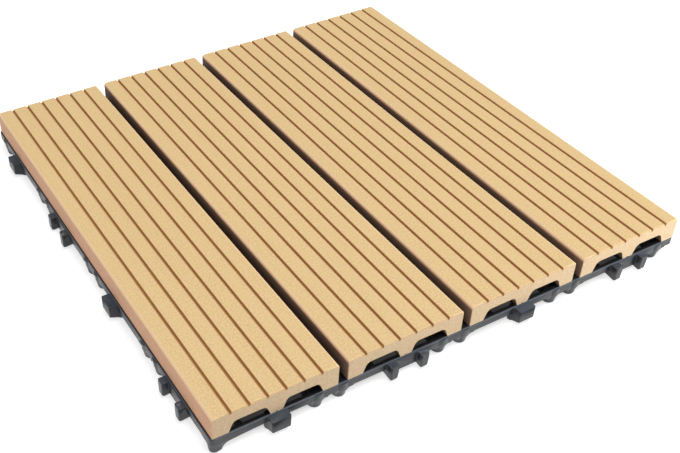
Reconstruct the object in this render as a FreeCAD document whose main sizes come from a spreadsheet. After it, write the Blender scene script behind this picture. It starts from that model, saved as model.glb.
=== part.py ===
import FreeCAD, Part
import math
import os
import Sketcher

os.makedirs("parts", exist_ok=True)
doc = FreeCAD.newDocument("deck_tile")

# Driving dimensions in millimetres, kept as named cells of one sheet
SIZES = {
    # Overall layout: four slats side by side on one moulded base
    "slat_pitch": 75.0,
    "slat_count": 4,
    "slat_width": 69.8,
    "slat_length": 296.4,
    "slat_thickness": 13.3,
    "base_side": 297.0,
    "base_height": 11.1,
    # Section of an extruded slat
    "outer_leg": 8.9,
    "middle_leg": 6.7,
    "slab": 6.9,
    "channel_slope": 2.4,
    "channel_round": 3.5,
    "long_arris": 1.8,
    "end_arris": 0.6,
    "groove_pitch": 10.0,
    "groove_count": 6,
    "groove_width": 1.5,
    "groove_floor": 1.0,
    "groove_depth": 1.4,
    "groove_lip": 0.25,
    "guide_width": 1.2,
    "guide_depth": 0.8,
    # Rim and lattice of the base
    "rim_thickness": 2.4,
    "rim_depth": 4.5,
    "rim_corner": 3.0,
    "rim_arris": 0.4,
    "rib_thickness": 2.0,
    "ribs_per_slat": 4,
    "cross_ribs_per_slat": 2,
    # Feet along the rim and under the lattice
    "feet_per_side": 3,
    "foot_radius": 5.0,
    "foot_bulge": 0.9,
    "foot_offset": 14.0,
    "foot_lip": 0.6,
    "arch_round": 5.0,
    "window_round": 1.8,
    "corner_foot_width": 9.5,
    "corner_foot_depth": 6.0,
    "corner_foot_round": 2.5,
    "flare_length": 16.0,
    "flare_height": 3.8,
    "flare_round": 18.0,
    # Connectors on the four sides: a tab that drops between two posts
    "connector_drop": 0.6,
    "connector_arris": 0.7,
    "tab_width": 10.5,
    "tab_reach": 4.8,
    "tab_height": 5.9,
    "tab_root": 1.4,
    "tab_round": 1.2,
    "post_width": 4.2,
    "post_gap": 14.2,
    "post_reach": 4.2,
    "post_height": 8.8,
    "post_root": 3.0,
    "post_round": 1.5,
    "web_reach": 0.6,
    "web_height": 6.6,
    # Screws driven up through bosses of the base into the middle leg
    "boss_diameter": 10.0,
    "boss_height": 8.6,
    "screw_bore": 4.0,
    "head_bore": 8.4,
    "head_bore_depth": 3.2,
    "screw_diameter": 3.4,
    "screw_head": 7.4,
    "screw_head_height": 2.0,
    "screw_head_round": 0.8,
    "screw_length": 14.5,
    "screw_point": 2.5,
    "recess_width": 0.9,
    "recess_length": 4.2,
    "recess_depth": 1.2,
    "pilot_diameter": 3.6,
    "pilot_depth": 10.0,
}

sheet = doc.addObject("Spreadsheet::Sheet", "Sizes")
for row, (name, value) in enumerate(SIZES.items(), start=1):
    sheet.set(f"A{row}", name)
    sheet.set(f"B{row}", str(value))
    sheet.setAlias(f"B{row}", name)
doc.recompute()


class Size:
    """A length: its present value, and the sheet expression that drives it."""

    def __init__(self, value, text):
        self.value = value
        self.text = text

    def __add__(self, other):
        other = as_size(other)
        return Size(self.value + other.value, f"({self.text} + {other.text})")

    def __sub__(self, other):
        other = as_size(other)
        return Size(self.value - other.value, f"({self.text} - {other.text})")

    def __mul__(self, other):
        other = as_size(other)
        return Size(self.value * other.value, f"({self.text} * {other.text})")

    def __truediv__(self, other):
        other = as_size(other)
        return Size(self.value / other.value, f"({self.text} / {other.text})")

    def __neg__(self):
        return Size(-self.value, f"(-1 * {self.text})")


def as_size(number):
    return number if isinstance(number, Size) else Size(float(number), str(number))


def cell(name):
    return Size(float(SIZES[name]), f"Sizes.{name}")


def drive(item, path, size):
    """Bind one property of an object to its sheet expression."""
    item.setExpression(path, as_size(size).text)


# Bodies, planes and sketches
def new_body(label, several=False):
    """Start a body, which may hold several separate solids where asked."""
    body = doc.addObject("PartDesign::Body", label)
    body.Label = label
    body.AllowCompound = several
    return body


def origin_feature(body, role):
    return next(item for item in body.Origin.OriginFeatures if item.Role == role)


def sketch_on(body, name, plane, offset=None):
    """Start a sketch on one of the body's own planes, moved along its normal."""
    sketch = body.newObject("Sketcher::SketchObject", name)
    sketch.AttachmentSupport = (origin_feature(body, plane), [""])
    sketch.MapMode = "FlatFace"
    if offset is not None:
        drive(sketch, "AttachmentOffset.Base.z", offset)
    return sketch


def pin_vertex(sketch, geometry, vertex, x, y):
    """Hold a vertex at driven distances from the sketch's two axes."""
    for kind, axis, size in (("DistanceX", -2, as_size(x)), ("DistanceY", -1, as_size(y))):
        if size.value == 0:
            sketch.addConstraint(Sketcher.Constraint("PointOnObject", geometry, vertex, axis))
        else:
            index = sketch.addConstraint(
                Sketcher.Constraint(kind, -1, 1, geometry, vertex, size.value))
            sketch.setExpression(f"Constraints[{index}]", size.text)


def rounded_corner(before, corner, after, radius):
    """Arc tangent to both legs of a corner, where it meets them, and its direction."""
    back = (before - corner).normalize()
    ahead = (after - corner).normalize()
    half_angle = back.getAngle(ahead) / 2
    run = radius / math.tan(half_angle)
    centre = corner + (back + ahead).normalize() * (radius / math.sin(half_angle))
    first = corner + back * run
    last = corner + ahead * run
    turns_left = ahead.cross(back).z > 0
    angles = [math.atan2(point.y - centre.y, point.x - centre.x) for point in (first, last)]
    if not turns_left:
        angles.reverse()
    circle = Part.Circle(centre, FreeCAD.Vector(0, 0, 1), radius)
    return Part.ArcOfCircle(circle, *angles), first, last, turns_left


def outline(sketch, points):
    """Closed driven outline of (x, y) corners, or (x, y, radius) where one is rounded."""
    corners = [
        FreeCAD.Vector(as_size(point[0]).value, as_size(point[1]).value, 0) for point in points]
    count = len(corners)
    arrivals = list(corners)
    departures = list(corners)
    arcs = {}
    for index, point in enumerate(points):
        if len(point) == 3:
            arc, arrivals[index], departures[index], turns_left = rounded_corner(
                corners[index - 1], corners[index], corners[(index + 1) % count],
                as_size(point[2]).value)
            arcs[index] = (arc, turns_left)
    lines = [
        sketch.addGeometry(Part.LineSegment(departures[index], arrivals[(index + 1) % count]))
        for index in range(count)]
    for index, point in enumerate(points):
        before = lines[index - 1]
        after = lines[index]
        if index not in arcs:
            sketch.addConstraint(Sketcher.Constraint("Coincident", before, 2, after, 1))
            pin_vertex(sketch, after, 1, point[0], point[1])
            continue
        apex = sketch.addGeometry(Part.Point(corners[index]), True)
        pin_vertex(sketch, apex, 1, point[0], point[1])
        sketch.addConstraint(Sketcher.Constraint("PointOnObject", apex, 1, before))
        sketch.addConstraint(Sketcher.Constraint("PointOnObject", apex, 1, after))
        arc, turns_left = arcs[index]
        bend = sketch.addGeometry(arc)
        start, end = (1, 2) if turns_left else (2, 1)
        sketch.addConstraint(Sketcher.Constraint("Tangent", before, 2, bend, start))
        sketch.addConstraint(Sketcher.Constraint("Tangent", bend, end, after, 1))
        radius = as_size(point[2])
        index = sketch.addConstraint(Sketcher.Constraint("Radius", bend, radius.value))
        sketch.setExpression(f"Constraints[{index}]", radius.text)


def rectangle(sketch, left, right, bottom, top, radius=None):
    corners = [(left, bottom), (right, bottom), (right, top), (left, top)]
    if radius is not None:
        corners = [corner + (radius,) for corner in corners]
    outline(sketch, corners)


def circle(sketch, x, y, diameter):
    """Driven circle centred on a driven point."""
    centre = FreeCAD.Vector(as_size(x).value, as_size(y).value, 0)
    normal = FreeCAD.Vector(0, 0, 1)
    ring = sketch.addGeometry(Part.Circle(centre, normal, as_size(diameter).value / 2))
    pin_vertex(sketch, ring, 3, x, y)
    index = sketch.addConstraint(
        Sketcher.Constraint("Diameter", ring, as_size(diameter).value))
    sketch.setExpression(f"Constraints[{index}]", as_size(diameter).text)


# Features
def pad(body, sketch, length, both_ways=False):
    feature = body.newObject("PartDesign::Pad", f"{sketch.Name}_pad")
    feature.Profile = sketch
    feature.SideType = "Symmetric" if both_ways else "One side"
    drive(feature, "Length", length)
    return feature


def pocket(body, sketch, depth, both_ways=False, along_normal=False):
    feature = body.newObject("PartDesign::Pocket", f"{sketch.Name}_pocket")
    feature.Profile = sketch
    feature.SideType = "Symmetric" if both_ways else "One side"
    feature.Reversed = along_normal
    drive(feature, "Length", depth)
    return feature


def row_step(body, name, axis, spacing, count):
    """One linear step of a pattern, along one of the body's own axes."""
    step = body.newObject("PartDesign::LinearPattern", name)
    step.Direction = (origin_feature(body, axis), [""])
    step.Mode = "Spacing"
    drive(step, "Offset", spacing)
    drive(step, "Occurrences", count)
    return step


def turn_step(body, name, count):
    """Copies turned evenly about the upright axis."""
    step = body.newObject("PartDesign::PolarPattern", name)
    step.Axis = (origin_feature(body, "Z_Axis"), [""])
    step.Occurrences = count
    return step


def mirror_step(body, name, plane):
    step = body.newObject("PartDesign::Mirrored", name)
    step.MirrorPlane = (plane, [""])
    return step


def diagonal_plane(body):
    """Upright plane at 45 degrees, so that what lies along X is mirrored to lie along Y."""
    plane = body.newObject("PartDesign::Plane", f"{body.Label}_diagonal")
    plane.AttachmentSupport = (origin_feature(body, "YZ_Plane"), [""])
    plane.MapMode = "FlatFace"
    eighth_turn = FreeCAD.Rotation(FreeCAD.Vector(0, 1, 0), -45)
    plane.AttachmentOffset = FreeCAD.Placement(FreeCAD.Vector(0, 0, 0), eighth_turn)
    return plane


def repeat(body, name, features, steps):
    """Repeat features through one or more pattern steps."""
    pattern = body.newObject("PartDesign::MultiTransform", name)
    pattern.Originals = features
    pattern.Transformations = steps
    body.Tip = pattern
    return pattern


def repeat_whole(body, name, steps):
    """Repeat everything that the body holds so far, its roundings too."""
    doc.recompute()
    pattern = repeat(body, name, [], steps)
    pattern.TransformMode = "Whole shape"
    return pattern


def round_edges(body, name, radius, wanted):
    """Fillet the edges of the body's present shape that a test picks out."""
    doc.recompute()
    base = body.Tip
    names = [
        f"Edge{number}" for number, edge in enumerate(base.Shape.Edges, start=1)
        if wanted(edge)]
    feature = body.newObject("PartDesign::Fillet", name)
    feature.Base = (base, names)
    drive(feature, "Radius", radius)
    doc.recompute()
    return feature


def near(first, second):
    return abs(first - second) < 1e-4


# Extruded slats: a slab on three legs, with grooves along the tread
slat_half = cell("slat_width") / 2
slat_end = cell("slat_length") / 2
slat_top = cell("slat_thickness")
channel_inner = cell("middle_leg") / 2
channel_outer = slat_half - cell("outer_leg")
channel_roof = slat_top - cell("slab")
screw_pitch = cell("slat_pitch")
first_screw = -(cell("slat_pitch") * (cell("slat_count") - 1) / 2)


def build_slat(label, number):
    """One slat, lying along Y, with its underside at the height of the base."""
    body = new_body(label)
    blank = sketch_on(body, f"{label}_blank", "XZ_Plane")
    rectangle(blank, -slat_half, slat_half, 0, slat_top)
    pad(body, blank, cell("slat_length"), both_ways=True)
    half_width = slat_half.value
    half_length = slat_end.value
    top = slat_top.value

    def long_top_edge(edge):
        box = edge.BoundBox
        return near(box.ZMin, top) and near(box.XLength, 0) and near(abs(box.XMin), half_width)

    def end_top_edge(edge):
        box = edge.BoundBox
        return near(box.ZMin, top) and near(box.YLength, 0) and near(abs(box.YMin), half_length)

    round_edges(body, f"{label}_arris", cell("long_arris"), long_top_edge)
    round_edges(body, f"{label}_end_arris", cell("end_arris"), end_top_edge)

    channel = sketch_on(body, f"{label}_channel", "XZ_Plane")
    slope = cell("channel_slope")
    bend = cell("channel_round")
    outline(channel, [
        (channel_inner, 0),
        (channel_outer, 0),
        (channel_outer - slope, channel_roof, bend),
        (channel_inner + slope, channel_roof, bend),
    ])
    hollow = pocket(body, channel, cell("slat_length"), both_ways=True)
    other_side = mirror_step(body, f"{label}_other_side", origin_feature(body, "YZ_Plane"))
    repeat(body, f"{label}_channels", [hollow], [other_side])

    guide = sketch_on(body, f"{label}_guide", "XZ_Plane")
    guide_half = cell("guide_width") / 2
    outline(guide, [(-guide_half, 0), (guide_half, 0), (0, cell("guide_depth"))])
    pocket(body, guide, cell("slat_length"), both_ways=True)

    groove = sketch_on(body, f"{label}_groove", "XZ_Plane")
    centre = -(cell("groove_pitch") * (cell("groove_count") - 1) / 2)
    mouth = cell("groove_width") / 2
    floor = cell("groove_floor") / 2
    lip = cell("groove_lip")
    outline(groove, [
        (centre - mouth - lip, slat_top),
        (centre - mouth, slat_top - lip),
        (centre - floor, slat_top - cell("groove_depth")),
        (centre + floor, slat_top - cell("groove_depth")),
        (centre + mouth, slat_top - lip),
        (centre + mouth + lip, slat_top),
    ])
    cut = pocket(body, groove, cell("slat_length"), both_ways=True)
    across = row_step(
        body, f"{label}_across", "X_Axis", cell("groove_pitch"), cell("groove_count"))
    repeat(body, f"{label}_grooves", [cut], [across])

    pilot = sketch_on(body, f"{label}_pilot", "XY_Plane")
    circle(pilot, 0, first_screw, cell("pilot_diameter"))
    hole = pocket(body, pilot, cell("pilot_depth"), along_normal=True)
    along = row_step(body, f"{label}_along", "Y_Axis", screw_pitch, cell("slat_count"))
    repeat(body, f"{label}_pilots", [hole], [along])

    drive(body, "Placement.Base.x", first_screw + cell("slat_pitch") * number)
    drive(body, "Placement.Base.z", cell("base_height"))
    return body


# Moulded base: rim with arched underside, lattice, feet, bosses and connectors
half = cell("base_side") / 2
deck = cell("base_height")
rim = cell("rim_thickness")
rim_bottom = deck - cell("rim_depth")
foot = cell("foot_radius")
foot_line = -(half + cell("foot_bulge") - foot)
pitch = cell("slat_pitch")
past_floor = 1
boss_foot = deck - cell("boss_height")
connector_pitch = pitch / 2
connector_top = deck - cell("connector_drop")
diagonals = {}


def four_sides(body, name, row=None):
    """Steps that repeat a feature of the front on all sides, mirrored onto the next one."""
    steps = [] if row is None else [row]
    steps.append(mirror_step(body, f"{name}_mirror", diagonals[body.Label]))
    steps.append(turn_step(body, f"{name}_turn", 2))
    return steps


def build_rim():
    """Upright wall around the base, its top edge slightly rounded."""
    body = new_body("rim")
    diagonals[body.Label] = diagonal_plane(body)
    wall = sketch_on(body, "rim_wall", "XY_Plane")
    rectangle(wall, -half, half, -half, half, cell("rim_corner"))
    rectangle(wall, rim - half, half - rim, rim - half, half - rim)
    pad(body, wall, deck)
    reach = half.value
    top = deck.value

    def outer_top_edge(edge):
        box = edge.BoundBox
        outside = max(abs(box.XMin), abs(box.XMax), abs(box.YMin), abs(box.YMax))
        return near(box.ZMin, top) and near(outside, reach)

    round_edges(body, "rim_top", cell("rim_arris"), outer_top_edge)
    cut_windows(body)
    return body


def cut_windows(body):
    """Arches under the rim, between its feet."""
    arch = cell("arch_round")
    pair_edge = -(pitch + cell("foot_offset") + foot)

    # Beside the corner foot the front arch is flared, the arch round the corner plain
    corner_edge = -(half - cell("corner_foot_width"))
    flare = sketch_on(body, "flared_window", "XZ_Plane", half)
    outline(flare, [
        (corner_edge, -past_floor),
        (pair_edge, -past_floor),
        (pair_edge, rim_bottom, arch),
        (corner_edge + cell("flare_length"), rim_bottom, cell("flare_round")),
        (corner_edge, rim_bottom - cell("flare_height"), cell("window_round")),
    ])
    corner_edge = -(half - cell("corner_foot_depth"))
    plain = sketch_on(body, "plain_window", "YZ_Plane", -half)
    outline(plain, [
        (corner_edge, -past_floor),
        (pair_edge, -past_floor),
        (pair_edge, rim_bottom, arch),
        (corner_edge, rim_bottom, arch),
    ])
    originals = [pocket(body, flare, rim), pocket(body, plain, rim, along_normal=True)]
    repeat(body, "corner_windows", originals, [turn_step(body, "corner_window_turn", 2)])

    # The other two corners have no foot
    bare = sketch_on(body, "bare_window", "XZ_Plane", half)
    bare_edge = pitch * 2 - cell("foot_offset") + foot
    outline(bare, [
        (bare_edge, -past_floor),
        (half + past_floor, -past_floor),
        (half + past_floor, rim_bottom),
        (bare_edge, rim_bottom, arch),
    ])
    repeat(body, "bare_windows", [pocket(body, bare, rim)], four_sides(body, "bare"))

    wide = sketch_on(body, "wide_window", "XZ_Plane", half)
    outline(wide, [
        (foot - pitch, -past_floor),
        (-(cell("foot_offset") + foot), -past_floor),
        (-(cell("foot_offset") + foot), rim_bottom, arch),
        (foot - pitch, rim_bottom, arch),
    ])
    narrow = sketch_on(body, "narrow_window", "XZ_Plane", half)
    narrow_left = foot - pitch - cell("foot_offset")
    narrow_right = -(pitch + foot)
    bend = cell("window_round")
    outline(narrow, [
        (narrow_left, -past_floor),
        (narrow_right, -past_floor),
        (narrow_right, rim_bottom, bend),
        (narrow_left, rim_bottom, bend),
    ])
    originals = [pocket(body, wide, rim), pocket(body, narrow, rim)]
    row = row_step(body, "window_row", "X_Axis", pitch, cell("feet_per_side"))
    repeat(body, "windows", originals, four_sides(body, "window", row))


def build_feet():
    """Round feet that swell out of the rim, corner feet, and round feet further in."""
    body = new_body("feet", several=True)
    diagonals[body.Label] = diagonal_plane(body)
    height = deck - cell("foot_lip")
    rows = (
        ("even_foot", -pitch, cell("feet_per_side")),
        ("offset_foot", -(pitch + cell("foot_offset")), cell("slat_count")),
    )
    for name, first, count in rows:
        sketch = sketch_on(body, name, "XY_Plane")
        circle(sketch, first, foot_line, foot * 2)
        row = row_step(body, f"{name}_row", "X_Axis", pitch, count)
        repeat(body, f"{name}_set", [pad(body, sketch, height)], four_sides(body, name, row))

    corner = sketch_on(body, "corner_foot", "XY_Plane")
    rectangle(
        corner, -half, cell("corner_foot_width") - half, -half,
        cell("corner_foot_depth") - half, cell("corner_foot_round"))
    repeat(body, "corner_feet", [pad(body, corner, height)], [turn_step(body, "corner_turn", 2)])

    inner = sketch_on(body, "inner_foot", "XY_Plane")
    circle(inner, -pitch, -pitch, foot * 2)
    steps = [
        row_step(body, "inner_x_row", "X_Axis", pitch, cell("feet_per_side")),
        row_step(body, "inner_y_row", "Y_Axis", pitch, cell("feet_per_side")),
    ]
    repeat(body, "inner_feet", [pad(body, inner, deck)], steps)
    return body


def build_ribs(label, axis, spacing, count):
    """One set of parallel ribs, side by side along an axis, that reach into the rim."""
    body = new_body(label, several=True)
    first = -(spacing * (count - 1) / 2)
    side = cell("rib_thickness") / 2
    reach = half - rim / 2
    sketch = sketch_on(body, f"{label}_first", "XY_Plane", rim_bottom)
    if axis == "X_Axis":
        rectangle(sketch, first - side, first + side, -reach, reach)
    else:
        rectangle(sketch, -reach, reach, first - side, first + side)
    rib = pad(body, sketch, cell("rim_depth"))
    repeat(body, f"{label}_all", [rib], [row_step(body, f"{label}_row", axis, spacing, count)])
    return body


def screw_grid(body, name):
    """Steps that repeat a feature at every screw."""
    return [
        row_step(body, f"{name}_x_row", "X_Axis", screw_pitch, cell("slat_count")),
        row_step(body, f"{name}_y_row", "Y_Axis", screw_pitch, cell("slat_count")),
    ]


def build_bosses():
    """Bosses under the middle legs of the slats."""
    body = new_body("bosses", several=True)
    sketch = sketch_on(body, "boss", "XY_Plane", boss_foot)
    circle(sketch, first_screw, first_screw, cell("boss_diameter"))
    column = pad(body, sketch, cell("boss_height"))
    repeat(body, "boss_set", [column], screw_grid(body, "boss"))
    return body


def build_bores():
    """The space of a screw bore and its recess for the head, at every boss."""
    body = new_body("screw_bores", several=True)
    bore = sketch_on(body, "bore", "XY_Plane", boss_foot)
    circle(bore, first_screw, first_screw, cell("screw_bore"))
    shank = pad(body, bore, cell("boss_height"))
    recess = sketch_on(body, "head_recess", "XY_Plane", boss_foot)
    circle(recess, first_screw, first_screw, cell("head_bore"))
    head = pad(body, recess, cell("head_bore_depth"))
    repeat(body, "bore_set", [shank, head], screw_grid(body, "bore"))
    return body


def build_tabs():
    """Tabs with a sloping underside that runs down to the floor behind the rim."""
    body = new_body("tabs", several=True)
    sketch = sketch_on(body, "tab", "YZ_Plane", -(connector_pitch * 3))
    tip = -(half + cell("tab_reach"))
    outline(sketch, [
        (tip, connector_top),
        (tip, connector_top - cell("tab_height"), cell("tab_round")),
        (cell("tab_root") - half, 0),
        (rim - half + cell("tab_root"), 0),
        (rim - half + cell("tab_root"), connector_top),
    ])
    pad(body, sketch, cell("tab_width"), both_ways=True)
    round_tips(body, tip)
    repeat_whole(body, "tab_set", connector_round(body, "tab"))
    return body


def build_posts():
    """Pairs of posts, rounded at the foot, with a web between them that thickens the rim."""
    body = new_body("posts", several=True)
    middle = (cell("post_gap") + cell("post_width")) / 2
    tip = -(half + cell("post_reach"))
    foot_height = connector_top - cell("post_height")
    web = sketch_on(body, "web", "XY_Plane", connector_top - cell("web_height"))
    rectangle(
        web, -connector_pitch - middle, middle - connector_pitch,
        -half - cell("web_reach"), rim - half)
    pad(body, web, cell("web_height"))
    centres = {
        "left_post": -connector_pitch - middle,
        "right_post": middle - connector_pitch,
    }
    for name, centre in centres.items():
        post = sketch_on(body, name, "YZ_Plane", centre)
        outline(post, [
            (tip, connector_top),
            (tip, foot_height, cell("post_round")),
            (cell("post_root") - half, foot_height),
            (cell("post_root") - half, connector_top),
        ])
        pad(body, post, cell("post_width"), both_ways=True)
    round_tips(body, tip)
    repeat_whole(body, "post_set", connector_round(body, "post"))
    return body


def connector_round(body, name):
    """Two of a kind on each side, the same order all round."""
    return [
        row_step(body, f"{name}_pair", "X_Axis", connector_pitch * 4, 2),
        turn_step(body, f"{name}_round", 4),
    ]


def round_tips(body, tip):
    """Round the upright edges at the tip of a connector."""
    line = tip.value

    def upright_tip_edge(edge):
        box = edge.BoundBox
        upright = near(box.XLength, 0) and near(box.YLength, 0)
        return upright and near(box.YMin, line)

    round_edges(body, f"{body.Label}_arris", cell("connector_arris"), upright_tip_edge)


def build_base():
    """Join the pieces of the moulding and bore its bosses."""
    spacing = pitch / cell("ribs_per_slat")
    cross_spacing = pitch / cell("cross_ribs_per_slat")
    moulding = doc.addObject("Part::MultiFuse", "moulding")
    moulding.Shapes = [
        build_rim(),
        build_feet(),
        build_ribs("long_ribs", "X_Axis", spacing, cell("ribs_per_slat") * cell("slat_count") - 1),
        build_ribs(
            "cross_ribs", "Y_Axis", cross_spacing,
            cell("cross_ribs_per_slat") * cell("slat_count") - 1),
        build_bosses(),
        build_tabs(),
        build_posts(),
    ]
    moulding.Refine = False
    bored = doc.addObject("Part::Cut", "base_grid")
    bored.Label = "base_grid"
    bored.Base = moulding
    bored.Tool = build_bores()
    return bored


# Self-tapping screws: pan head with a cross recess, plain shank and a point
def build_screws():
    """All screws as one node of separate solids, each head against its boss."""
    body = new_body("fixing_screws", several=True)
    seat = boss_foot + cell("head_bore_depth")
    shank = cell("screw_diameter") / 2
    head = cell("screw_head") / 2
    head_face = seat - cell("screw_head_height")
    tip = seat + cell("screw_length")
    profile = sketch_on(body, "screw_profile", "XZ_Plane")
    outline(profile, [
        (0, head_face),
        (head, head_face, cell("screw_head_round")),
        (head, seat),
        (shank, seat),
        (shank, tip - cell("screw_point")),
        (0, tip),
    ])
    turned = body.newObject("PartDesign::Revolution", "screw_turned")
    turned.Profile = profile
    turned.ReferenceAxis = (profile, ["V_Axis"])
    arm = cell("recess_length") / 2
    side = cell("recess_width") / 2
    for name, reach, spread in (("slot_along", arm, side), ("slot_across", side, arm)):
        slot = sketch_on(body, name, "XY_Plane", head_face)
        rectangle(slot, -reach, reach, -spread, spread)
        pocket(body, slot, cell("recess_depth"), along_normal=True)
    repeat_whole(body, "screw_set", screw_grid(body, "screw"))
    drive(body, "Placement.Base.x", first_screw)
    drive(body, "Placement.Base.y", first_screw)
    return body


slats = [build_slat(f"slat_{number + 1}", number) for number in range(SIZES["slat_count"])]
nodes = slats + [build_screws(), build_base()]
doc.recompute()

# Every object must be sound before anything is written
for item in doc.Objects:
    if {"Invalid", "Error"} & set(item.State):
        raise RuntimeError(f"{item.Name} did not build")
for node in nodes:
    if node.Shape.isNull() or not node.Shape.isValid():
        raise RuntimeError(f"{node.Label} has no sound shape")
for node in nodes:
    node.Shape.exportStep(f"parts/{node.Label}.step")
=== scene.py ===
import math

import bmesh
import bpy
from mathutils import Matrix, Vector
from mathutils.kdtree import KDTree


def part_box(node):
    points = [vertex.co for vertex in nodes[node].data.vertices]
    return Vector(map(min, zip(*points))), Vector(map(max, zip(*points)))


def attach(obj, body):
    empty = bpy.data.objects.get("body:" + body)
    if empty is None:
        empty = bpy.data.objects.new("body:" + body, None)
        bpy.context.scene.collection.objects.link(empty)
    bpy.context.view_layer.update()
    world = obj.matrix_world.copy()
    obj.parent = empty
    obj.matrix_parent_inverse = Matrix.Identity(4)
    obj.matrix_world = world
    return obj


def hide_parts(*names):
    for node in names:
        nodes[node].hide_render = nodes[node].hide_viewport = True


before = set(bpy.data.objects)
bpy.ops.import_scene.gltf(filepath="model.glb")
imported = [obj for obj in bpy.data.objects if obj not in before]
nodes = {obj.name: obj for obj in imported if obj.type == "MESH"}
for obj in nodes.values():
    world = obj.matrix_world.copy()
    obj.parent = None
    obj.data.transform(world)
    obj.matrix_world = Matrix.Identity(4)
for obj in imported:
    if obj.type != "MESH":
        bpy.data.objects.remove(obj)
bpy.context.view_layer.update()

# Slats and base: places and sizes read from their meshes in model.glb, in metres
SLATS = ("slat_1", "slat_2", "slat_3", "slat_4")
SLAT_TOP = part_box("slat_1")[1].z
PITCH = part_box("slat_2")[0].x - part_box("slat_1")[0].x
OUTER_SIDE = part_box("slat_4")[1].x
SLAT_HALF_WIDTH = (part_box("slat_4")[1].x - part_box("slat_4")[0].x) / 2
BASE_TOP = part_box("base_grid")[1].z
TAB_REACH = 0.0048
HALF_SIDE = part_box("base_grid")[1].x - TAB_REACH

# Grooves in a slat: how far they reach from its middle, and the depths where their colour
# starts and ends
GROOVES_END = 0.0275
GROOVE_MARGIN = 0.0010
GROOVE_LIP = (0.00006, 0.00022)
GROOVE_FLOOR = (0.0018, 0.0015)

# Long edge of a slat, with a painted highlight: distances from the slat's middle, and depths
ARRIS_ACROSS = (SLAT_HALF_WIDTH - 0.0018, SLAT_HALF_WIDTH - 0.0008)
ARRIS_DEPTH = (0.0016, 0.0010)

# Sides in the gaps between slats: how far from the tile's middle they end, and where the
# painted shade in a gap starts and is full
GAP_SIDES = (OUTER_SIDE - 0.002, OUTER_SIDE - 0.004)
GAP_DEPTH = (0.0011, 0.0030)

# How squarely a face looks along X or Y to count as a slat's side or end
SIDE_FACING = (0.55, 0.95)
END_FACING = (0.75, 0.95)

# Colours of the composite, in screen values from 0 to 255
TREAD = ((214, 182, 130), (235, 204, 152))
# Sides: partly the unbrushed skin's own colour, partly a painted warm bounce light that makes them
# pinker than the tread
SKIN_AND_BOUNCE = ((213, 163, 129), (226, 179, 147))
SAWN = ((190, 163, 132), (206, 182, 149))
ARRIS_HIGHLIGHT = (246, 212, 172)
GAP_SHADE_BROWN = (128, 106, 90)
GROOVE_BROWN = (186, 138, 88)

# Colours of the moulding and the screws
PLASTIC = ((25, 28, 33), (33, 36, 42))
RIM_HIGHLIGHT_GREY = (96, 104, 116)
ZINC = ((176, 176, 170), (206, 206, 200))

# Patterns: scale, stretch along X, Y and Z, detail and roughness
SPECKLE = (1150, (1, 0.7, 1), 3.0, 0.65)
FIBRE = (900, (1, 0.05, 1), 3.0, 0.6)
STREAK = (190, (1, 0.03, 1), 2.0, 0.5)
PATCH = (22, (1, 0.5, 1), 2.0, 0.5)
CLOUD = (28, (1, 1, 1), 3.0, 0.5)
MOULD_TEXTURE = (1900, (1, 1, 1), 2.0, 0.5)
SCUFF = (260, (1, 1, 0.5), 4.0, 0.7)
UNEVEN = (500, (1, 1, 1), 3.0, 0.5)

# Values of a pattern between which one colour turns into the other
PATTERN_RANGE = (0.3, 0.7)

# Tints that a pattern adds: values between which it grows, its largest share, and its colour
FIBRE_TINT = ((0.55, 0.75), 0.32, (200, 166, 116))
STREAK_TINT = ((0.35, 0.7), 0.30, (231, 200, 148))
PATCH_TINT = ((0.35, 0.7), 0.20, (220, 187, 134))
SCUFF_TINT = ((0.62, 0.78), 0.35, (56, 61, 69))
ARRIS_SHARE = 0.6
RIM_EDGE_SHARE = 0.55

# Gloss: values of the pattern that it follows, the roughness there, and the specular level
WOOD_GLOSS = ((0.2, 0.8), (0.62, 0.8))
WOOD_SPECULAR = 0.28
PLASTIC_GLOSS = ((0.3, 0.75), (0.28, 0.42))
PLASTIC_SPECULAR = 0.5
ZINC_GLOSS = ((0.3, 0.7), (0.26, 0.42))

# Relief: its height in metres, and its strength
FIBRE_RELIEF = (0.00007, 0.4)
SPECKLE_RELIEF = (0.00004, 0.35)
MOULD_RELIEF = (0.00004, 0.35)
ZINC_RELIEF = (0.00003, 0.4)

# Moulded edges: their radius, and how many rays look for them
EDGE_RADIUS = 0.0008
EDGE_SAMPLES = 6

# Top edge of the rim, with a painted highlight where it would catch the light: how far out it stands,
# and how high
RIM_EDGE_OUT = (HALF_SIDE - 0.0008, HALF_SIDE - 0.0003)
RIM_EDGE_HEIGHT = (BASE_TOP - 0.0010, BASE_TOP - 0.0004)

# Base: its rim, its feet and where they stand, and the tabs and posts outside the rim
RIM_WALL = 0.0024
RIM_BOTTOM = 0.0066
FOOT_RADIUS = 0.005
FOOT_INSET = 0.0041
FOOT_OFFSET = 0.014
CORNER_WIDTH = 0.0095
CORNER_DEPTH = 0.006
CONNECTOR_TOP = 0.0105
CONNECTOR_UNDERSIDE = CONNECTOR_TOP - 0.001
CONNECTOR_START = 0.0002
TAB_STATIONS = (-PITCH * 1.5, PITCH * 0.5)
TAB_WIDTH = 0.0105
POST_MIDDLE = 0.0092
POST_WIDTH = 0.0042
POST_ROOT = 0.0031
POST_STATIONS = tuple(
    middle + side for middle in (-PITCH * 0.5, PITCH * 1.5) for side in (-POST_MIDDLE, POST_MIDDLE))

# Sides of the base, going round: the way along each one, and the way out of it
SIDES = (
    ((1, 0), (0, -1)),
    ((0, 1), (1, 0)),
    ((-1, 0), (0, 1)),
    ((0, -1), (-1, 0)))

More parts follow.
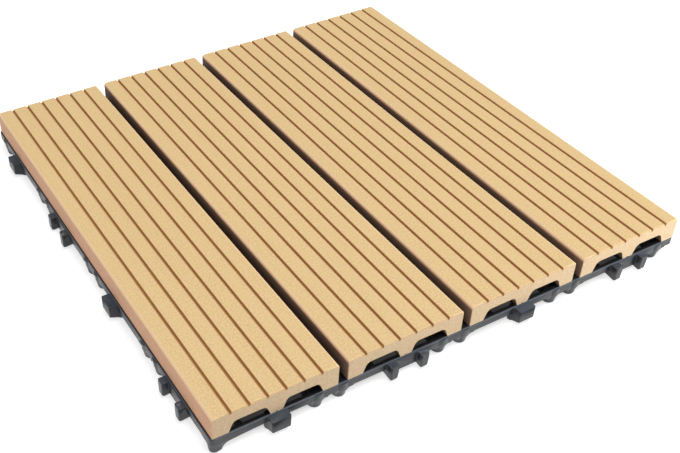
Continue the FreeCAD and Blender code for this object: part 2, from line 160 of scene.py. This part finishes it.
# Draft of the feet: heights above the floor, a round foot's radius and a corner foot's share
# of its full size at each height
DRAFT_HEIGHTS = (0.0, 0.00025, 0.0007, 0.0015, 0.003, 0.0045, 0.006, RIM_BOTTOM)
FOOT_RADII = (0.0027, 0.00315, 0.0035, 0.0037, 0.00395, 0.0042, 0.0046, FOOT_RADIUS)
CORNER_SHARES = (0.62, 0.74, 0.83, 0.87, 0.91, 0.95, 0.99, 1.0)

# Arch from a round foot into the rim: the height where it starts, and its reach along the rim
ARCH_START = 0.0022
ARCH_REACH = 0.006

# Bulge of a round foot in the rim: how far it stands out at most, how far it reaches from the
# foot's middle, and the share of it that is taken off at its lower end
BULGE_DEPTH = 0.001
BULGE_REACH = 0.0052
BULGE_SHARE = 0.6

# Corner foot: where it is cut upright, how much it is narrowed each way and rounded, and over
# what height it blends into the rim
CORNER_CUTS = (0.07, 0.16, 0.28, 0.42, 0.58, 0.72, 0.84, 0.93)
CORNER_NARROWED = (0.8, 0.97)
CORNER_ROUNDED = 0.6
CORNER_BLEND = 0.0026

# Flare of the arch beside the corner foot: how far it is eased, how quickly it rises, the share
# of its drop that is kept, and how it is spread where it leaves the foot
FLARE_REACH = 0.0208
FLARE_RISE = 0.0012
FLARE_SHARE = 0.25
FLARE_SPREAD = 1.2
FLARE_BEND = 0.006

# Connectors: how much lower they reach, and how much stouter a post is at its top and foot
TAB_DROP = 0.0017
POST_DROP = 0.0006
POST_STOUT = 0.19
POST_TAPER = 0.3

# Points nearer than WELD are one point, and SLACK is the room given when places are compared,
# with more of it round the feet and the posts
WELD = 0.000002
SLACK = 0.00001
FOOT_SLACK = 0.00005
POST_SLACK = 0.0001

# Shading of the moulded base: the angle that counts as an edge, and how far faces even it out
SHARP_ANGLE = math.radians(32)
EVEN_WEIGHT = 100

# Floor: its reach, its patch under the tile painted dark as shadow, and its tones and glow there and
# beside it
FLOOR_REACH = 30.0
PATCH_EDGE = (0.1415, 0.1455)
FLOOR_TONES = (0.08, 0.80)
FLOOR_GLOW = (0.03, 0.62)

# World: how much it fills the tile's shadows, and how bright the camera sees it
WORLD_FILL = 0.37
WORLD_SEEN = 1.0
WHITE = (1.0, 1.0, 1.0, 1.0)

# Lamps: name, place, side, power in watts, colour, and whether gloss shows the lamp
LAMPS = (
    ("key", (0.5, -0.3, 2.1), 1.4, 30.0, (1.0, 0.99, 0.97), True),
    ("fill", (-1.6, -0.6, 1.0), 1.6, 9.0, (0.97, 0.985, 1.0), True),
    ("front", (0.34, -0.48, 0.06), 0.10, 1.7, (0.97, 1.0, 0.97), False))

# Camera, fitted to the photograph's view of the tile
CAMERA_PLACE = (-0.28297, -0.42511, 0.38773)
CAMERA_RIGHT = (0.87824, -0.47781, -0.01997)
CAMERA_AHEAD = (0.36006, 0.68814, -0.62994)
CAMERA_LENS = 54.636
CAMERA_SENSOR = 36.0
CAMERA_SHIFT = 0.17
CAMERA_RANGE = (0.01, 100.0)


def linear(colour):
    """A colour in screen values from 0 to 255, as the shader takes it."""
    def channel(value):
        value /= 255
        return value / 12.92 if value <= 0.04045 else ((value + 0.055) / 1.055) ** 2.4
    return tuple(channel(value) for value in colour) + (1.0,)


def grey(value):
    """A neutral colour of one brightness."""
    return (value, value, value, 1.0)


class Graph:
    """Small helper that builds the nodes of a material or a world."""

    def __init__(self, owner, output):
        self.owner = owner
        owner.use_nodes = True
        self.tree = owner.node_tree
        self.tree.nodes.clear()
        self.output = self.tree.nodes.new(output)

    def node(self, kind, inputs=None, **settings):
        """New node with its inputs joined or set, and its settings."""
        made = self.tree.nodes.new(kind)
        for name, value in settings.items():
            setattr(made, name, value)
        for name, value in (inputs or {}).items():
            self.put(made.inputs[name], value)
        return made

    def put(self, socket, value):
        """Join another node's output to a socket, or set it to a plain value."""
        if isinstance(value, bpy.types.NodeSocket):
            self.tree.links.new(value, socket)
        else:
            socket.default_value = value

    def place(self):
        """X, Y and Z of a point on the object."""
        where = self.node("ShaderNodeTexCoord").outputs["Object"]
        return self.node("ShaderNodeSeparateXYZ", {"Vector": where}).outputs

    def facing(self):
        """X, Y and Z of the way a face looks."""
        normal = self.node("ShaderNodeNewGeometry").outputs["True Normal"]
        return self.node("ShaderNodeSeparateXYZ", {"Vector": normal}).outputs

    def math(self, operation, first, second=0.0):
        made = self.node("ShaderNodeMath", operation=operation)
        self.put(made.inputs[0], first)
        self.put(made.inputs[1], second)
        return made.outputs[0]

    def times(self, first, *factors):
        """Product of several values."""
        for factor in factors:
            first = self.math("MULTIPLY", first, factor)
        return first

    def ramp(self, value, span, results=(0.0, 1.0)):
        """Smooth step from the first result to the second over a span of values."""
        made = self.node("ShaderNodeMapRange", {
            "Value": value, "From Min": span[0], "From Max": span[1],
            "To Min": results[0], "To Max": results[1]}, interpolation_type="SMOOTHSTEP")
        return made.outputs["Result"]

    def noise(self, scale, stretch, detail, roughness):
        """Noise fixed to the object, from 0 to 1."""
        where = self.node("ShaderNodeTexCoord").outputs["Object"]
        mapped = self.node("ShaderNodeMapping", {"Vector": where, "Scale": stretch})
        made = self.node("ShaderNodeTexNoise", {
            "Vector": mapped.outputs[0], "Scale": scale, "Detail": detail,
            "Roughness": roughness})
        return made.outputs["Fac"]

    def mix(self, factor, first, second):
        made = self.node("ShaderNodeMix", data_type="RGBA")
        self.put(made.inputs[0], factor)
        self.put(made.inputs[6], first)
        self.put(made.inputs[7], second)
        return made.outputs[2]

    def between(self, pattern, colours):
        """Colour that follows a pattern from the first of two colours to the second."""
        return self.mix(self.ramp(pattern, PATTERN_RANGE), linear(colours[0]), linear(colours[1]))

    def tint(self, colour, pattern, span, share, towards):
        """Colour drawn part of the way to another where a pattern is strong."""
        return self.mix(self.times(self.ramp(pattern, span), share), colour, linear(towards))

    def bump(self, height, relief, normal=None):
        """Relief that a pattern gives the surface, on top of a normal if one is given."""
        inputs = {"Height": height, "Distance": relief[0], "Strength": relief[1]}
        if normal is not None:
            inputs["Normal"] = normal
        return self.node("ShaderNodeBump", inputs).outputs[0]

    def surface(self, shader):
        """Join the shader to the output, and give back the finished material or world."""
        self.put(self.output.inputs["Surface"], shader.outputs[0])
        return self.owner


def new_material(name):
    return Graph(bpy.data.materials.new(name), "ShaderNodeOutputMaterial")


def slat_regions(graph):
    """Where a slat's sides, sawn ends, long edges, gap sides and grooves are, from 0 to 1."""
    place = graph.place()
    facing = graph.facing()
    side = graph.ramp(graph.math("ABSOLUTE", facing["X"]), SIDE_FACING)
    end = graph.ramp(graph.math("ABSOLUTE", facing["Y"]), END_FACING)
    depth = graph.math("SUBTRACT", SLAT_TOP, place["Z"])

    # The remainder after whole pitches tells the place across one slat, and ten pitches
    # added first keep it positive
    positive = graph.math("ADD", place["X"], PITCH * 10)
    across = graph.math("MODULO", positive, PITCH)
    from_middle = graph.math("ABSOLUTE", graph.math("SUBTRACT", across, PITCH / 2))
    arris = graph.times(graph.ramp(from_middle, ARRIS_ACROSS), graph.ramp(depth, ARRIS_DEPTH))
    groove = graph.times(
        graph.ramp(depth, GROOVE_LIP),
        graph.ramp(depth, GROOVE_FLOOR),
        graph.ramp(from_middle, (GROOVES_END + GROOVE_MARGIN, GROOVES_END)),
        graph.math("SUBTRACT", 1.0, end))

    # Painted shade: the sides that face each other across a gap are painted darker than the tile's
    # outer sides, more so further down
    in_gap = graph.ramp(graph.math("ABSOLUTE", place["X"]), GAP_SIDES)
    gap = graph.times(side, in_gap, graph.ramp(depth, GAP_DEPTH))
    return {"side": side, "end": end, "arris": arris, "gap": gap, "groove": groove}


def composite_wood():
    """Brushed wood-plastic composite: fine fibres along the slat, and a wood-flour speckle."""
    graph = new_material("composite_wood")
    region = slat_regions(graph)
    speckle = graph.noise(*SPECKLE)
    fibre = graph.noise(*FIBRE)

    tread = graph.between(speckle, TREAD)
    tread = graph.tint(tread, fibre, *FIBRE_TINT)
    tread = graph.tint(tread, graph.noise(*STREAK), *STREAK_TINT)
    tread = graph.tint(tread, graph.noise(*PATCH), *PATCH_TINT)

    # Sides take the skin colour, which also carries a painted warm bounce light
    colour = graph.mix(region["side"], tread, graph.between(speckle, SKIN_AND_BOUNCE))
    # Painted highlight: the slat's long top edges are lightened towards a pale colour
    colour = graph.mix(graph.times(region["arris"], ARRIS_SHARE), colour, linear(ARRIS_HIGHLIGHT))
    # Painted shade in the gaps between slats
    colour = graph.mix(region["gap"], colour, linear(GAP_SHADE_BROWN))
    colour = graph.mix(region["end"], colour, graph.between(speckle, SAWN))
    colour = graph.mix(region["groove"], colour, linear(GROOVE_BROWN))

    fibres = graph.bump(fibre, FIBRE_RELIEF)
    return graph.surface(graph.node("ShaderNodeBsdfPrincipled", {
        "Base Color": colour,
        "Roughness": graph.ramp(speckle, *WOOD_GLOSS),
        "Specular IOR Level": WOOD_SPECULAR,
        "Normal": graph.bump(speckle, SPECKLE_RELIEF, fibres)}))


def base_plastic():
    """Satin charcoal polypropylene with the fine texture of its mould."""
    graph = new_material("base_plastic")
    scuff = graph.noise(*SCUFF)
    place = graph.place()
    outermost = graph.math(
        "MAXIMUM", graph.math("ABSOLUTE", place["X"]), graph.math("ABSOLUTE", place["Y"]))
    rim_edge = graph.times(
        graph.ramp(outermost, RIM_EDGE_OUT), graph.ramp(place["Z"], RIM_EDGE_HEIGHT))
    colour = graph.between(graph.noise(*CLOUD), PLASTIC)
    colour = graph.tint(colour, scuff, *SCUFF_TINT)
    # Painted highlight along the rim's top outer edge
    colour = graph.mix(graph.times(rim_edge, RIM_EDGE_SHARE), colour, linear(RIM_HIGHLIGHT_GREY))

    rounded = graph.node("ShaderNodeBevel", {"Radius": EDGE_RADIUS}, samples=EDGE_SAMPLES)
    return graph.surface(graph.node("ShaderNodeBsdfPrincipled", {
        "Base Color": colour,
        "Roughness": graph.ramp(scuff, *PLASTIC_GLOSS),
        "Specular IOR Level": PLASTIC_SPECULAR,
        "Normal": graph.bump(graph.noise(*MOULD_TEXTURE), MOULD_RELIEF, rounded.outputs[0])}))


def screw_steel():
    """Zinc-plated steel, slightly uneven."""
    graph = new_material("screw_steel")
    uneven = graph.noise(*UNEVEN)
    return graph.surface(graph.node("ShaderNodeBsdfPrincipled", {
        "Base Color": graph.between(uneven, ZINC),
        "Roughness": graph.ramp(uneven, *ZINC_GLOSS),
        "Metallic": 1.0,
        "Normal": graph.bump(uneven, ZINC_RELIEF)}))


def dress(name, material):
    """Give a CAD node its material in every slot."""
    data = nodes[name].data
    if not data.materials:
        data.materials.append(material)
    for index in range(len(data.materials)):
        data.materials[index] = material


def link(name, data):
    """Put a new object into the scene."""
    made = bpy.data.objects.new(name, data)
    bpy.context.scene.collection.objects.link(made)
    return made


def follow(values, height):
    """Value at a height, straight between the values at the draft's heights."""
    levels = list(zip(DRAFT_HEIGHTS, values))
    for (low, first), (high, second) in zip(levels, levels[1:]):
        if height <= high:
            return first + (second - first) * (height - low) / (high - low)
    return values[-1]


def nearest_side(point):
    """Of the side nearest to a point: place along it, depth inside it, way along, way out."""
    found = [
        (point.x * way[0] + point.y * way[1], HALF_SIDE - point.x * out[0] - point.y * out[1], way, out)
        for way, out in SIDES]
    return min(found, key=lambda side: side[1])


def move(point, way, step):
    """Move a point level, one of the base's ways."""
    point.x += way[0] * step
    point.y += way[1] * step


def feet_tree():
    """Middles of the round feet, along the four sides and further in, ready to be searched."""
    line = HALF_SIDE - FOOT_INSET
    stations = [PITCH * step for step in (-1, 0, 1)]
    stations += [PITCH * step - FOOT_OFFSET for step in (-1, 0, 1, 2)]
    middles = [(PITCH * column, PITCH * row) for column in (-1, 0, 1) for row in (-1, 0, 1)]
    for station in stations:
        middles += [(station, -line), (-line, station), (-station, line), (line, -station)]
    tree = KDTree(len(middles))
    for index, (x, y) in enumerate(middles):
        tree.insert((x, y, 0), index)
    tree.balance()
    return tree


def cut_through(shaped, parts, place, normal):
    """Cut some of a mesh with a plane, and give back the parts as they then are."""
    cut = bmesh.ops.bisect_plane(shaped, geom=parts, dist=WELD, plane_co=place, plane_no=normal)
    return cut["geom"]


def corner_foot_parts(shaped, sign):
    """Vertices, edges and faces of the front left corner foot, or with -1 of the back right one."""
    verts = [
        vert for vert in shaped.verts
        if vert.co.z < RIM_BOTTOM + SLACK
        and vert.co.x * sign + HALF_SIDE < CORNER_WIDTH + SLACK
        and vert.co.y * sign + HALF_SIDE < CORNER_DEPTH + SLACK]
    inside = set(verts)
    faces = [face for face in shaped.faces if inside.issuperset(face.verts)]
    chosen = set(faces)
    edges = [edge for edge in shaped.edges if not chosen.isdisjoint(edge.link_faces)]
    return verts + edges + faces


def cut_base():
    """Copy of the base's mesh, cut level for the draft and upright through the corner feet."""
    shaped = bmesh.new()
    shaped.from_mesh(nodes["base_grid"].data)
    bmesh.ops.remove_doubles(shaped, verts=shaped.verts, dist=WELD)
    for height in DRAFT_HEIGHTS[1:]:
        everything = shaped.verts[:] + shaped.edges[:] + shaped.faces[:]
        cut_through(shaped, everything, (0, 0, height), (0, 0, 1))
    for sign in (1, -1):
        parts = corner_foot_parts(shaped, sign)
        for share in CORNER_CUTS:
            across = sign * (CORNER_WIDTH * share - HALF_SIDE)
            deep = sign * (CORNER_DEPTH * share - HALF_SIDE)
            parts = cut_through(shaped, parts, (across, 0, 0), (1, 0, 0))
            parts = cut_through(shaped, parts, (0, deep, 0), (0, 1, 0))
    return shaped


def draft_foot(point, middle, inward):
    """Narrow a round foot towards the floor, and lead the rim into it with an arch."""
    away = Vector((point.x - middle.x, point.y - middle.y))
    limit = follow(FOOT_RADII, point.z)
    if away.length > FOOT_RADIUS + FOOT_SLACK:
        if inward > RIM_WALL + SLACK:
            return
        rise = (point.z - ARCH_START) / (RIM_BOTTOM - ARCH_START)
        rise = min(max(rise, 0.0), 1.0)
        limit += ARCH_REACH * (1 - (1 - rise ** 2) ** 0.5)
    if away.length > limit:
        away *= limit / away.length
        point.x = middle.x + away.x
        point.y = middle.y + away.y


def corner_point(along, inward, height):
    """Where a point of a corner foot goes, once the foot is narrowed and rounded."""
    low = min((RIM_BOTTOM - height) / CORNER_BLEND, 1.0)
    share = follow(CORNER_SHARES, height)
    middle_along = CORNER_WIDTH * (1 - low * (1 - CORNER_NARROWED[0])) / 2
    middle_inward = CORNER_DEPTH * (1 - low * (1 - CORNER_NARROWED[1])) / 2
    across = along * 2 / CORNER_WIDTH - 1
    deep = inward * 2 / CORNER_DEPTH - 1
    rounded_across = 1 - CORNER_ROUNDED * low * (1 - (1 - deep ** 2 / 2) ** 0.5)
    rounded_deep = 1 - CORNER_ROUNDED * low * (1 - (1 - across ** 2 / 2) ** 0.5)
    return (
        middle_along * (1 + across * rounded_across * share),
        middle_inward * (1 + deep * rounded_deep * share))


def draft_corner(point):
    """Narrow and round the two corner feet, and ease the arches beside them."""
    sign = 1 if point.x < 0 else -1
    along = point.x * sign + HALF_SIDE
    inward = point.y * sign + HALF_SIDE
    past = along - CORNER_WIDTH
    if past <= SLACK and inward <= CORNER_DEPTH + SLACK:
        along, inward = corner_point(along, inward, point.z)
    elif 0 < past < FLARE_REACH and inward <= RIM_WALL + SLACK:
        fade = 1 - past / FLARE_REACH
        bend = max(0.0, 1 - past / FLARE_BEND)
        kept = 1 - (1 - FLARE_SHARE) * min(past / FLARE_RISE, 1.0)
        point.z = RIM_BOTTOM - (RIM_BOTTOM - point.z) * kept
        start_along, start_inward = corner_point(CORNER_WIDTH, inward, point.z)
        along += past * FLARE_SPREAD * bend + (start_along - CORNER_WIDTH) * fade
        inward += (start_inward - inward) * bend
    elif CORNER_DEPTH < inward < CORNER_DEPTH * 2 and along <= RIM_WALL + SLACK:
        fade = 2 - inward / CORNER_DEPTH
        start_along, start_inward = corner_point(along, CORNER_DEPTH, point.z)
        inward += (start_inward - CORNER_DEPTH) * fade
        along += (start_along - along) * fade ** 2
    else:
        return
    point.x = sign * (along - HALF_SIDE)
    point.y = sign * (inward - HALF_SIDE)


def flatten_bulge(point, inward, out):
    """Take the bulge of a round foot back towards the rim at its lower end."""
    rise = (point.z - RIM_BOTTOM) / (CONNECTOR_TOP - RIM_BOTTOM)
    move(point, out, inward * BULGE_SHARE * (1 - rise))


def is_underside(point, inward):
    """Whether a point is below the top of a tab or post, outside the rim."""
    return inward < -CONNECTOR_START and point.z < CONNECTOR_UNDERSIDE


def shape_tab(point, along, inward):
    """Let a tab reach lower towards its outer end."""
    from_tab = min(abs(along - station) for station in TAB_STATIONS)
    if from_tab < TAB_WIDTH and is_underside(point, inward):
        point.z -= TAB_DROP * -inward / TAB_REACH


def shape_post(point, along, inward, way):
    """Make a post stouter, most of all at its top, and a little longer."""
    from_post = min((along - station for station in POST_STATIONS), key=abs)
    if abs(from_post) < POST_WIDTH / 2 + POST_SLACK and inward < POST_ROOT:
        stouter = POST_STOUT - POST_TAPER * max(0.0, 1 - point.z / RIM_BOTTOM)
        if is_underside(point, inward):
            point.z -= POST_DROP
        move(point, way, from_post * stouter)


def moulded_base():
    """The base with the draft of its feet and connectors, in place of its plainer solid."""
    shaped = cut_base()
    feet = feet_tree()
    for vert in shaped.verts:
        point = vert.co
        along, inward, way, out = nearest_side(point)
        middle, _, distance = feet.find((point.x, point.y, 0))
        if point.z < RIM_BOTTOM - SLACK:
            if distance < FOOT_RADIUS + ARCH_REACH:
                draft_foot(point, middle, inward)
            draft_corner(point)
        elif -BULGE_DEPTH < inward < -SLACK and distance < BULGE_REACH:
            flatten_bulge(point, inward, out)
        shape_tab(point, along, inward)
        shape_post(point, along, inward, way)
    mesh = bpy.data.meshes.new("moulded_base")
    shaped.to_mesh(mesh)
    shaped.free()
    mesh.shade_smooth()
    mesh.set_sharp_from_angle(angle=SHARP_ANGLE)
    piece = link("moulded_base", mesh)
    even = piece.modifiers.new("even_shading", "WEIGHTED_NORMAL")
    even.keep_sharp = True
    even.weight = EVEN_WEIGHT
    return piece


def add_base(material):
    """The moulded base rides where the CAD base is, and stands for it."""
    base = moulded_base()
    base.data.materials.append(material)
    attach(base, "root")
    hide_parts("base_grid")


def floor_material():
    """White studio floor: keeps the tile's shadow, is painted dark as shadow under the tile, and reads
    white where nothing shades it.
    """
    graph = new_material("studio_floor")
    place = graph.place()
    from_middle = graph.math(
        "MAXIMUM", graph.math("ABSOLUTE", place["X"]), graph.math("ABSOLUTE", place["Y"]))
    beside = graph.ramp(from_middle, PATCH_EDGE)
    rays = graph.node("ShaderNodeLightPath").outputs
    seen = graph.math("MAXIMUM", rays["Is Camera Ray"], rays["Is Glossy Ray"])
    # Painted shadow: the floor under the tile gets a dark tone and almost no glow
    tone = graph.mix(beside, grey(FLOOR_TONES[0]), grey(FLOOR_TONES[1]))
    strength = graph.times(seen, graph.ramp(beside, (0.0, 1.0), FLOOR_GLOW))
    matt = graph.node("ShaderNodeBsdfDiffuse", {"Color": tone})
    glow = graph.node("ShaderNodeEmission", {"Color": WHITE, "Strength": strength})
    both = graph.node("ShaderNodeAddShader")
    graph.put(both.inputs[0], matt.outputs[0])
    graph.put(both.inputs[1], glow.outputs[0])
    return graph.surface(both)


def add_floor():
    """Level floor that the tile stands on."""
    reach = FLOOR_REACH
    mesh = bpy.data.meshes.new("studio_floor")
    corners = [(-reach, -reach, 0), (reach, -reach, 0), (reach, reach, 0), (-reach, reach, 0)]
    mesh.from_pydata(corners, [], [(0, 1, 2, 3)])
    mesh.materials.append(floor_material())
    link("studio_floor", mesh)


def add_world():
    """Even white surroundings: a soft fill for the tile, plain white where the camera sees them."""
    graph = Graph(bpy.data.worlds.new("studio"), "ShaderNodeOutputWorld")
    rays = graph.node("ShaderNodeLightPath").outputs
    fill = graph.node("ShaderNodeBackground", {"Color": WHITE, "Strength": WORLD_FILL})
    seen = graph.node("ShaderNodeBackground", {"Color": WHITE, "Strength": WORLD_SEEN})
    choice = graph.node("ShaderNodeMixShader")
    graph.put(choice.inputs[0], rays["Is Camera Ray"])
    graph.put(choice.inputs[1], fill.outputs[0])
    graph.put(choice.inputs[2], seen.outputs[0])
    bpy.context.scene.world = graph.surface(choice)


def add_lamp(name, place, side, power, colour, in_gloss):
    """Soft square lamp that faces the tile."""
    data = bpy.data.lights.new(name, "AREA")
    data.shape = "SQUARE"
    data.size = side
    data.energy = power
    data.color = colour
    lamp = link(name, data)
    lamp.location = place
    lamp.rotation_mode = "QUATERNION"
    lamp.rotation_quaternion = (-Vector(place)).to_track_quat("-Z", "Y")
    lamp.visible_glossy = in_gloss


def add_camera():
    """The photograph's view: from the front left, looking down about 39 degrees."""
    right = Vector(CAMERA_RIGHT).normalized()
    ahead = Vector(CAMERA_AHEAD).normalized()
    up = right.cross(ahead)
    data = bpy.data.cameras.new("photo_camera")
    data.sensor_width = CAMERA_SENSOR
    data.lens = CAMERA_LENS
    data.shift_x = CAMERA_SHIFT
    data.clip_start, data.clip_end = CAMERA_RANGE
    camera = link("photo_camera", data)
    turn = Matrix((right, up, -ahead)).transposed().to_4x4()
    camera.matrix_world = Matrix.Translation(Vector(CAMERA_PLACE)) @ turn
    bpy.context.scene.camera = camera


wood = composite_wood()
plastic = base_plastic()
for slat in SLATS:
    dress(slat, wood)
dress("base_grid", plastic)
dress("fixing_screws", screw_steel())
add_base(plastic)

add_floor()
add_world()
for lamp_values in LAMPS:
    add_lamp(*lamp_values)
add_camera()
bpy.context.scene.view_settings.view_transform = "Standard"
